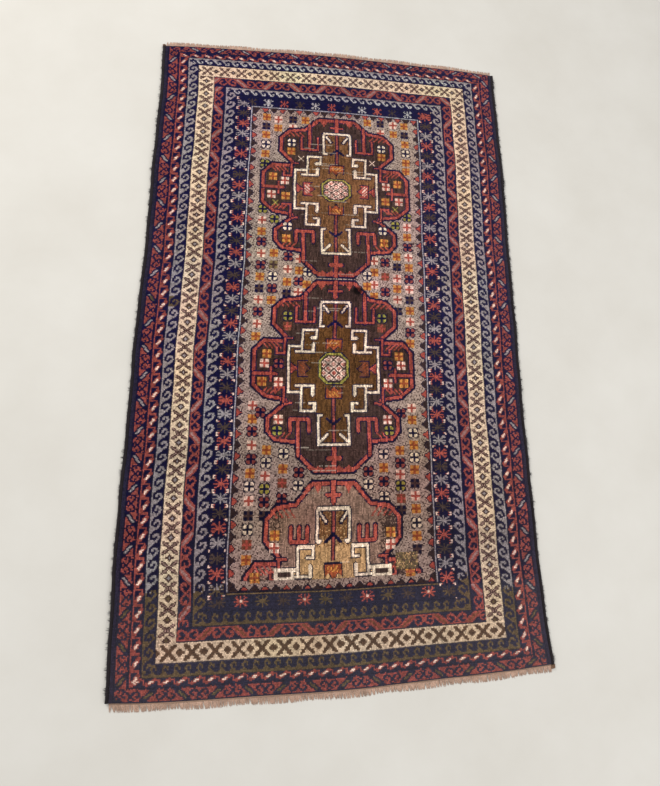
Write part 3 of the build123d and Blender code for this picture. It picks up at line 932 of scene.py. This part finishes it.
def place_texture(tree, scale, stretch=(1, 1, 1), kind="ShaderNodeTexNoise", **values):
    """Strength of a texture in object space; the scale is in features per metre."""
    where = tree.nodes.new("ShaderNodeTexCoord")
    mapping = tree.nodes.new("ShaderNodeMapping")
    mapping.inputs["Scale"].default_value = stretch
    tree.links.new(where.outputs["Object"], mapping.inputs["Vector"])
    texture = node(tree, kind, Scale=scale, **values)
    tree.links.new(mapping.outputs["Vector"], texture.inputs["Vector"])
    return texture.outputs["Fac"]


def ramp(tree, source, stops):
    made = tree.nodes.new("ShaderNodeValToRGB")
    tree.links.new(source, made.inputs["Fac"])
    elements = made.color_ramp.elements
    while len(elements) < len(stops):
        elements.new(0.5)
    for element, (position, value) in zip(elements, stops):
        element.position = position
        element.color = (*value, 1) if hasattr(value, "__len__") else (value, value, value, 1)
    return made.outputs["Color"]


def multiply(tree, a, b):
    made = tree.nodes.new("ShaderNodeMix")
    made.data_type, made.blend_type = "RGBA", "MULTIPLY"
    made.inputs["Factor"].default_value = 1.0
    tree.links.new(a, made.inputs[6])
    tree.links.new(b, made.inputs[7])
    return made.outputs[2]


def finish_shader(tree, shader, colour, heights):
    """Joins colour and stacked bumps, each a texture, a strength and a distance in metres."""
    tree.links.new(colour, shader.inputs["Base Color"])
    previous = None
    for height, strength, distance in heights:
        made = node(tree, "ShaderNodeBump", Strength=strength, Distance=distance)
        tree.links.new(height, made.inputs["Height"])
        if previous is not None:
            tree.links.new(previous, made.inputs["Normal"])
        previous = made.outputs["Normal"]
    tree.links.new(previous, shader.inputs["Normal"])


def shrink(tree, source):
    """A tuft's ragged radius, brought to 0 at its middle and 1 in the gap between corners."""
    made = node(tree, "ShaderNodeMapRange", **{"From Min": 0.3, "From Max": 1.85})
    tree.links.new(source, made.inputs["Value"])
    return made.outputs["Result"]


def wool_pile():
    """Cut pile: each knot's own dye, fibre tips, clumps, a soft sheen and painted shade between tufts."""
    material, tree, shader = new_material("wool_pile", 0.95, 0.03)
    dyed = node(tree, "ShaderNodeVertexColor", layer_name="wool").outputs["Color"]
    fibres = place_texture(tree, 1500.0, Detail=3.0, Roughness=0.7)
    clumps = place_texture(tree, 260.0, (1, 1, 0.2), Detail=4.0, Roughness=0.6)
    across = node(tree, "ShaderNodeAttribute", attribute_name="tuft").outputs["Vector"]
    radius = node(tree, "ShaderNodeVectorMath", operation="LENGTH")
    tree.links.new(across, radius.inputs[0])
    ragged = node(tree, "ShaderNodeMath", operation="MULTIPLY_ADD")
    tree.links.new(clumps, ragged.inputs[0])
    ragged.inputs[1].default_value = 0.9
    tree.links.new(radius.outputs["Value"], ragged.inputs[2])
    tone = ramp(tree, fibres, [(0.25, 0.62), (0.5, 0.98), (0.8, 1.3)])
    lump = ramp(tree, clumps, [(0.3, 0.78), (0.5, 1.0), (0.72, 1.18)])
    # painted shade: dark in the gaps between tufts, lighter at their middles; also the tufts' bump
    gap_shade_and_height = ramp(tree, shrink(tree, ragged.outputs["Value"]), [
        (0.15, 1.14), (0.62, 1.02), (0.80, 0.66), (1.0, 0.34)])
    colour = multiply(tree, dyed, tone)
    colour = multiply(tree, colour, lump)
    colour = multiply(tree, colour, gap_shade_and_height)
    finish_shader(tree, shader, colour, [
        (gap_shade_and_height, 0.6, 0.0011), (clumps, 0.5, 0.0015),
        (fibres, 0.4, 0.0006)])
    return material


def plain_yarn(name, colour, dark, scale, roughness=0.92, sheen=0.2):
    """Spun yarn in one wool: streaks along the spin, fluff and uneven dye."""
    material, tree, shader = new_material(name, roughness, sheen)
    streaks = place_texture(tree, scale, (3.0, 1.0, 1.0), Detail=5.0, Roughness=0.65)
    patches = place_texture(tree, 45.0, Detail=2.0)
    tone = ramp(tree, streaks, [(0.28, to_linear(dark)), (0.68, to_linear(colour))])
    fade = ramp(tree, patches, [(0.3, 0.75), (0.7, 1.15)])
    finish_shader(tree, shader, multiply(tree, tone, fade), [(streaks, 0.6, 0.0006)])
    return material


def weave_material():
    """Flat weave of the foundation, ribbed by its wefts, with the knots' backs in colour."""
    material, tree, shader = new_material("wool_weave", 0.95, 0.1)
    dyed = node(tree, "ShaderNodeVertexColor", layer_name="wool").outputs["Color"]
    ribs = place_texture(
        tree, 47.0, kind="ShaderNodeTexWave", bands_direction="Y", Distortion=1.5, Detail=2.0)
    fluff = place_texture(tree, 900.0, Detail=3.0)
    tone = ramp(tree, ribs, [(0.0, 0.72), (1.0, 1.08)])
    grain = ramp(tree, fluff, [(0.3, 0.8), (0.7, 1.15)])
    colour = multiply(tree, multiply(tree, dyed, tone), grain)
    finish_shader(tree, shader, colour, [(ribs, 0.6, 0.0008), (fluff, 0.4, 0.0005)])
    return material


def floor_material():
    """Pale, matt, slightly mottled floor."""
    material, tree, shader = new_material("pale_floor", 0.8, 0.0)
    mottle = place_texture(tree, 3.0, Detail=8.0, Roughness=0.6)
    tone = ramp(tree, mottle, [
        (0.3, to_linear((0.845, 0.825, 0.785))), (0.7, to_linear((0.875, 0.858, 0.822)))])
    tree.links.new(tone, shader.inputs["Base Color"])
    return material


# ---- the rug ----
def finish_piece(piece, material, slot, *nodes):
    piece.data.materials.append(material)
    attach(piece, "root")
    if nodes:
        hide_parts(*nodes)
    return piece


def nodes_of(prefix):
    return sorted(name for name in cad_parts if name.startswith(prefix))


PILE_SLOTS = {
    "pile_navy": ("edge_stripes", "guard_border", "running_dog_outer", "running_dog_inner", "star_border"),
    "pile_red": ("red_outer_border", "red_meander_border"), "pile_ivory": ("ivory_lattice_border",),
    "pile_brown": ("medallion_head", "medallion_centre", "medallion_foot"), "pile_grey": ("field",),
}
SLOT_OF = {f"pile_{region}": slot for slot, names in PILE_SLOTS.items() for region in names}
SLOT_OF["repair_patch"] = "repair_wool"


def make_rug():
    pile_material = wool_pile()
    for name, mask in regions.items():
        replaced = {
            "pile_edge_stripes": nodes_of("pile_edge_stripe"),
            "pile_field": nodes_of("pile_field") + ["pile_sawtooth_edging"],
        }.get(name) or nodes_of(name)
        piece = make_pile(f"{name}_wool", mask)
        finish_piece(piece, pile_material, SLOT_OF[name], *replaced)
    fringe_wool = plain_yarn("fringe_wool", (0.88, 0.75, 0.66), (0.62, 0.46, 0.37), 420.0)
    for name, end in (("head", 1), ("foot", -1)):
        fringe = make_fringe(f"fringe_{name}_strands", end)
        finish_piece(fringe, fringe_wool, "fringe_wool", f"fringe_{name}")
    hair = plain_yarn("goat_hair", (0.185, 0.155, 0.165), (0.075, 0.060, 0.065), 900.0, 0.8, 0.1)
    for name, side, clumps in (("left", -1, 380), ("right", 1, 640)):
        cord = make_selvedge(f"selvedge_{name}_overcast", side)
        finish_piece(
            cord, hair, "goat_hair", f"selvedge_overcast_{name}", f"selvedge_core_{name}")
        finish_piece(make_hairs(f"selvedge_{name}_hairs", side, clumps, 12), hair, "goat_hair")
    tie_wool = plain_yarn("tie_wool", (0.58, 0.44, 0.33), (0.30, 0.21, 0.16), 700.0)
    for corner, loops in (("head_left", 6), ("foot_right", 9)):
        tie = make_tie(f"corner_tie_{corner}_yarn", f"corner_tie_{corner}", loops, 0.0017)
        finish_piece(tie, tie_wool, "tie_wool", f"corner_tie_{corner}")
    weave = finish_piece(make_foundation(), weave_material(), "warp_and_weft_wool", "foundation_cloth")


# ---- floor and light ----
def make_floor():
    half = 9.0
    points = np.array([[-half, -half, 0], [half, -half, 0], [half, half, 0], [-half, half, 0]], float)
    floor = add_piece("floor", points, [[0, 1, 2, 3]], smooth=False)
    floor.data.materials.append(floor_material())


def add_light(name, at, size, energy, colour):
    """A round lamp that points at the middle of the rug."""
    data = bpy.data.lights.new(name, "AREA")
    data.shape, data.size, data.energy, data.color = "DISK", size, energy, colour
    light = add_object(name, data)
    light.location = at
    light.rotation_euler = (-Vector(at)).to_track_quat("-Z", "Y").to_euler()


def make_light():
    add_light("window", (-2.6, 2.4, 3.4), 2.6, 110.0, (1.0, 0.985, 0.96))
    add_light("fill", (2.4, -1.6, 3.2), 3.2, 50.0, (0.97, 0.98, 1.0))
    world = bpy.data.worlds.new("soft_room")
    world.use_nodes = True
    background = world.node_tree.nodes["Background"]
    background.inputs["Color"].default_value = (0.96, 0.975, 1.0, 1)
    background.inputs["Strength"].default_value = 0.64
    bpy.context.scene.world = world
    bpy.context.scene.view_settings.view_transform = "Standard"


make_floor()
make_rug()
make_light()
